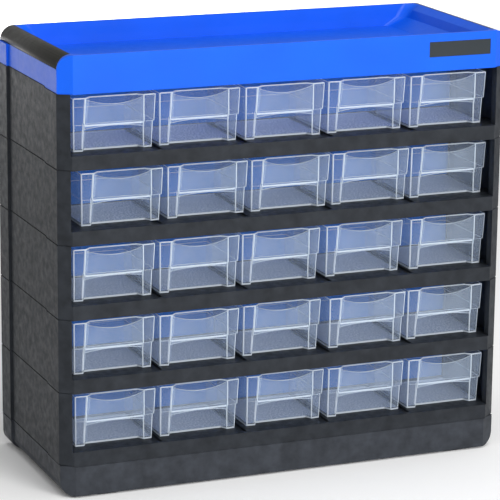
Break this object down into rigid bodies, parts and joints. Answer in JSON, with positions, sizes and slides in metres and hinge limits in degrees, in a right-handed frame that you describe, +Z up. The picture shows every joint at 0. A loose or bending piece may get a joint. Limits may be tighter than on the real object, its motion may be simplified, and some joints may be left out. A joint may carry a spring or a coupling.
{
  "type": "parts organizer",
  "caption": "Tabletop small-parts cabinet: stacked black tiers of clear pull-out drawers on a plinth, with blue panels behind them and an open blue tray on top",
  "frame": {"origin": "on the ground under the middle of the cabinet, midway between the sides and between the front and the back", "axes": "+Z up, +X to the right seen from the front, -Y towards the front, so drawers pull out along -Y"},
  "size_m": [0.389, 0.154, 0.3571],
  "materials": {
    "black_plastic": "fine-grained black moulded polypropylene",
    "black_trim": "slightly glossier black moulded trim",
    "foot_rubber": "soft black rubber",
    "blue_plastic": "satin bright-blue moulding",
    "blue_panel": "flat bright-blue sheet",
    "dark_plate": "blank dark-grey plate",
    "clear_plastic": "clear polystyrene, polished"
  },
  "bodies": {
    "cabinet": {"base_plinth": "black_plastic", "base_feet": "foot_rubber", "tier_1": "black_plastic", "tier_2": "black_plastic", "tier_3": "black_plastic", "tier_4": "black_plastic", "tier_5": "black_plastic", "panel_1": "blue_panel", "panel_2": "blue_panel", "panel_3": "blue_panel", "panel_4": "blue_panel", "panel_5": "blue_panel", "top_tray": "blue_plastic", "left_end_cap": "black_trim", "right_end_cap": "black_trim", "front_plate": "dark_plate"},
    "drawer_r1c1": {"drawer_r1c1": "clear_plastic"},
    "drawer_r1c2": {"drawer_r1c2": "clear_plastic"},
    "drawer_r1c3": {"drawer_r1c3": "clear_plastic"},
    "drawer_r1c4": {"drawer_r1c4": "clear_plastic"},
    "drawer_r1c5": {"drawer_r1c5": "clear_plastic"},
    "drawer_r2c1": {"drawer_r2c1": "clear_plastic"},
    "drawer_r2c2": {"drawer_r2c2": "clear_plastic"},
    "drawer_r2c3": {"drawer_r2c3": "clear_plastic"},
    "drawer_r2c4": {"drawer_r2c4": "clear_plastic"},
    "drawer_r2c5": {"drawer_r2c5": "clear_plastic"},
    "drawer_r3c1": {"drawer_r3c1": "clear_plastic"},
    "drawer_r3c2": {"drawer_r3c2": "clear_plastic"},
    "drawer_r3c3": {"drawer_r3c3": "clear_plastic"},
    "drawer_r3c4": {"drawer_r3c4": "clear_plastic"},
    "drawer_r3c5": {"drawer_r3c5": "clear_plastic"},
    "drawer_r4c1": {"drawer_r4c1": "clear_plastic"},
    "drawer_r4c2": {"drawer_r4c2": "clear_plastic"},
    "drawer_r4c3": {"drawer_r4c3": "clear_plastic"},
    "drawer_r4c4": {"drawer_r4c4": "clear_plastic"},
    "drawer_r4c5": {"drawer_r4c5": "clear_plastic"},
    "drawer_r5c1": {"drawer_r5c1": "clear_plastic"},
    "drawer_r5c2": {"drawer_r5c2": "clear_plastic"},
    "drawer_r5c3": {"drawer_r5c3": "clear_plastic"},
    "drawer_r5c4": {"drawer_r5c4": "clear_plastic"},
    "drawer_r5c5": {"drawer_r5c5": "clear_plastic"}
  },
  "joints": [
    {"name": "drawer_r1c1_slide", "type": "slide", "parent": "cabinet", "child": "drawer_r1c1", "axis": [0, -1, 0], "range_m": [-0.003, 0.049]},
    {"name": "drawer_r1c2_slide", "type": "slide", "parent": "cabinet", "child": "drawer_r1c2", "axis": [0, -1, 0], "range_m": [-0.0015, 0.0505]},
    {"name": "drawer_r1c3_slide", "type": "slide", "parent": "cabinet", "child": "drawer_r1c3", "axis": [0, -1, 0], "range_m": [-0.004, 0.048]},
    {"name": "drawer_r1c4_slide", "type": "slide", "parent": "cabinet", "child": "drawer_r1c4", "axis": [0, -1, 0], "range_m": [-0.0025, 0.0495]},
    {"name": "drawer_r1c5_slide", "type": "slide", "parent": "cabinet", "child": "drawer_r1c5", "axis": [0, -1, 0], "range_m": [-0.0035, 0.0485]},
    {"name": "drawer_r2c1_slide", "type": "slide", "parent": "cabinet", "child": "drawer_r2c1", "axis": [0, -1, 0], "range_m": [-0.002, 0.05]},
    {"name": "drawer_r2c2_slide", "type": "slide", "parent": "cabinet", "child": "drawer_r2c2", "axis": [0, -1, 0], "range_m": [-0.0005, 0.0515]},
    {"name": "drawer_r2c3_slide", "type": "slide", "parent": "cabinet", "child": "drawer_r2c3", "axis": [0, -1, 0], "range_m": [-0.001, 0.051]},
    {"name": "drawer_r2c4_slide", "type": "slide", "parent": "cabinet", "child": "drawer_r2c4", "axis": [0, -1, 0], "range_m": [-0.0005, 0.0515]},
    {"name": "drawer_r2c5_slide", "type": "slide", "parent": "cabinet", "child": "drawer_r2c5", "axis": [0, -1, 0], "range_m": [0, 0.052]},
    {"name": "drawer_r3c1_slide", "type": "slide", "parent": "cabinet", "child": "drawer_r3c1", "axis": [0, -1, 0], "range_m": [-0.0045, 0.0475]},
    {"name": "drawer_r3c2_slide", "type": "slide", "parent": "cabinet", "child": "drawer_r3c2", "axis": [0, -1, 0], "range_m": [-0.003, 0.049]},
    {"name": "drawer_r3c3_slide", "type": "slide", "parent": "cabinet", "child": "drawer_r3c3", "axis": [0, -1, 0], "range_m": [-0.002, 0.05]},
    {"name": "drawer_r3c4_slide", "type": "slide", "parent": "cabinet", "child": "drawer_r3c4", "axis": [0, -1, 0], "range_m": [-0.001, 0.051]},
    {"name": "drawer_r3c5_slide", "type": "slide", "parent": "cabinet", "child": "drawer_r3c5", "axis": [0, -1, 0], "range_m": [-0.0025, 0.0495]},
    {"name": "drawer_r4c1_slide", "type": "slide", "parent": "cabinet", "child": "drawer_r4c1", "axis": [0, -1, 0], "range_m": [-0.0035, 0.0485]},
    {"name": "drawer_r4c2_slide", "type": "slide", "parent": "cabinet", "child": "drawer_r4c2", "axis": [0, -1, 0], "range_m": [-0.005, 0.047]},
    {"name": "drawer_r4c3_slide", "type": "slide", "parent": "cabinet", "child": "drawer_r4c3", "axis": [0, -1, 0], "range_m": [-0.002, 0.05]},
    {"name": "drawer_r4c4_slide", "type": "slide", "parent": "cabinet", "child": "drawer_r4c4", "axis": [0, -1, 0], "range_m": [-0.005, 0.047]},
    {"name": "drawer_r4c5_slide", "type": "slide", "parent": "cabinet", "child": "drawer_r4c5", "axis": [0, -1, 0], "range_m": [-0.0035, 0.0485]},
    {"name": "drawer_r5c1_slide", "type": "slide", "parent": "cabinet", "child": "drawer_r5c1", "axis": [0, -1, 0], "range_m": [-0.004, 0.048]},
    {"name": "drawer_r5c2_slide", "type": "slide", "parent": "cabinet", "child": "drawer_r5c2", "axis": [0, -1, 0], "range_m": [-0.003, 0.049]},
    {"name": "drawer_r5c3_slide", "type": "slide", "parent": "cabinet", "child": "drawer_r5c3", "axis": [0, -1, 0], "range_m": [-0.002, 0.05]},
    {"name": "drawer_r5c4_slide", "type": "slide", "parent": "cabinet", "child": "drawer_r5c4", "axis": [0, -1, 0], "range_m": [-0.0035, 0.0485]},
    {"name": "drawer_r5c5_slide", "type": "slide", "parent": "cabinet", "child": "drawer_r5c5", "axis": [0, -1, 0], "range_m": [-0.0045, 0.0475]}
  ]
}
